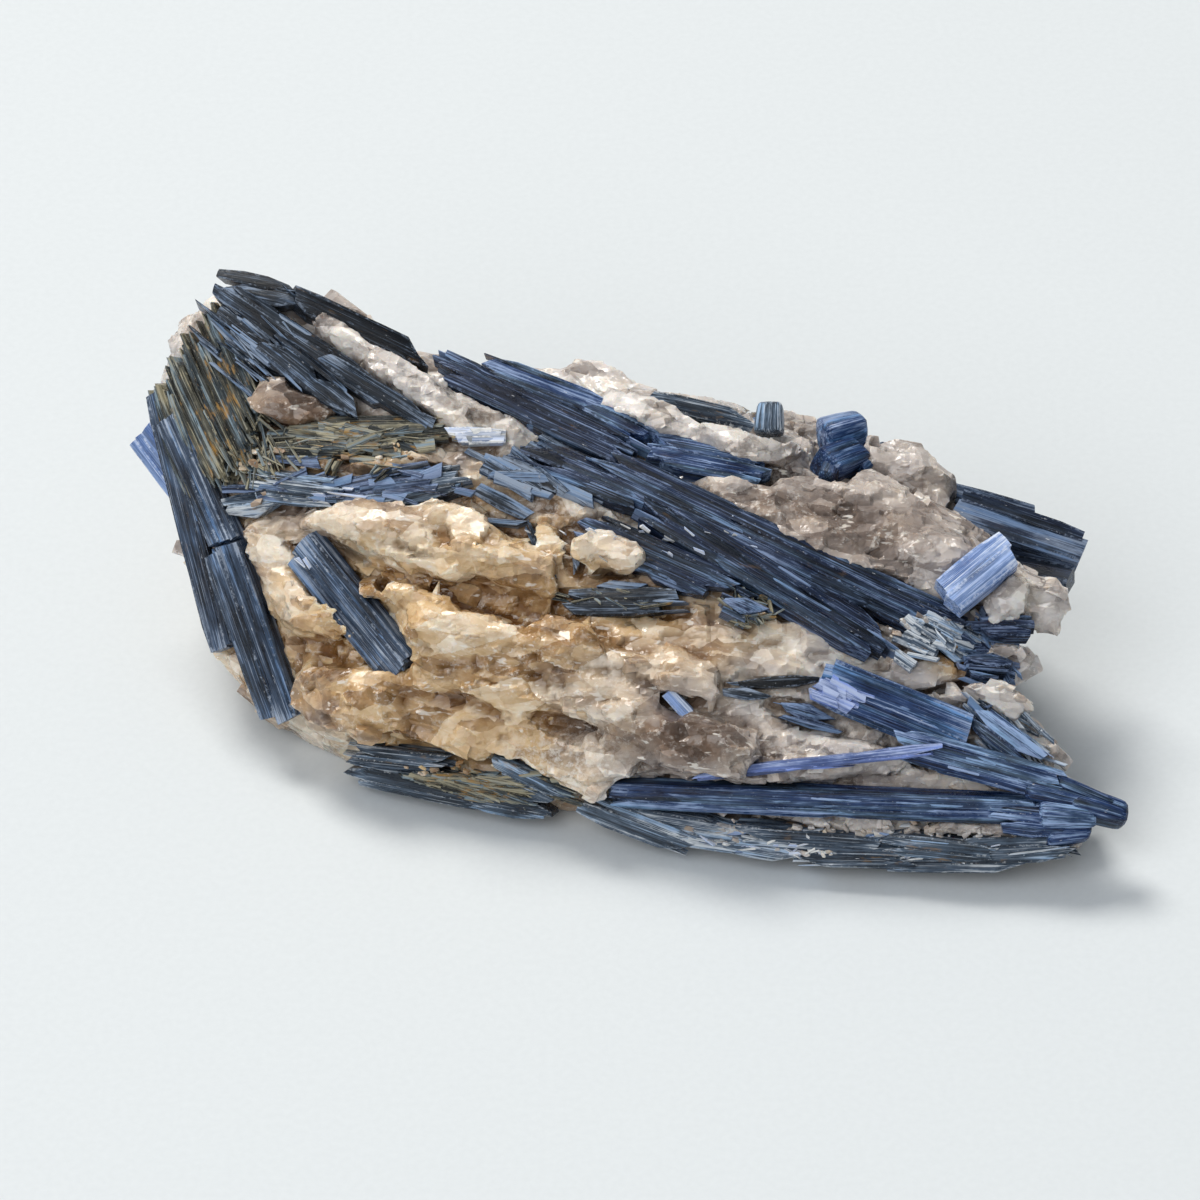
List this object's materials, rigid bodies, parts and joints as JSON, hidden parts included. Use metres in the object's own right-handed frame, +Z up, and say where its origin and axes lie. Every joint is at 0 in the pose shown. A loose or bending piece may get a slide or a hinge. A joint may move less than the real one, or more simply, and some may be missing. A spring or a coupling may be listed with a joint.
{
  "type": "kyanite mineral specimen",
  "caption": "Broken lump of iron-stained quartz with long striated blades of blue kyanite grown through it; a display or study specimen that rests on its flat broken face.",
  "frame": {"origin": "on the flat face that the specimen rests on, under the middle of the lump", "axes": "+X along the lump's length towards its narrow broken end, +Y away from the face that is shown, +Z up from the resting face, along the least extent"},
  "size_m": [0.1495, 0.0895, 0.0579],
  "materials": {
    "quartz": "satin, lightly translucent",
    "kyanite_blue": "pearly gloss",
    "kyanite_pale": "pearly gloss",
    "kyanite_green": "pearly gloss"
  },
  "bodies": {
    "root": {"crest_spray": "kyanite_blue", "left_edge_blades": "kyanite_blue", "wide_left_blade": "kyanite_blue", "inset_blade": "kyanite_blue", "long_spray": "kyanite_blue", "back_blades": "kyanite_blue", "ragged_blade": "kyanite_blue", "knob_crystal": "kyanite_blue", "rim_blade": "kyanite_blue", "right_prisms": "kyanite_blue", "notch_blades": "kyanite_blue", "small_dark_blade": "kyanite_blue", "lower_spray": "kyanite_blue", "far_long_blades": "kyanite_blue", "far_cross_blade": "kyanite_blue", "far_low_blade": "kyanite_blue", "pale_stub": "kyanite_pale", "pale_prism": "kyanite_pale", "violet_blade": "kyanite_pale", "violet_needle": "kyanite_pale", "grey_needle": "kyanite_pale", "fan_spray": "kyanite_green", "olive_bar": "kyanite_green", "steel_bar": "kyanite_green", "dark_bar": "kyanite_green", "hook_needle": "kyanite_green", "seed_crystal": "kyanite_green", "black_needles": "kyanite_green", "bottom_bundle": "kyanite_green", "bottom_left_blades": "kyanite_green", "far_left_blade": "kyanite_green", "quartz_matrix": "quartz"}
  },
  "joints": []
}
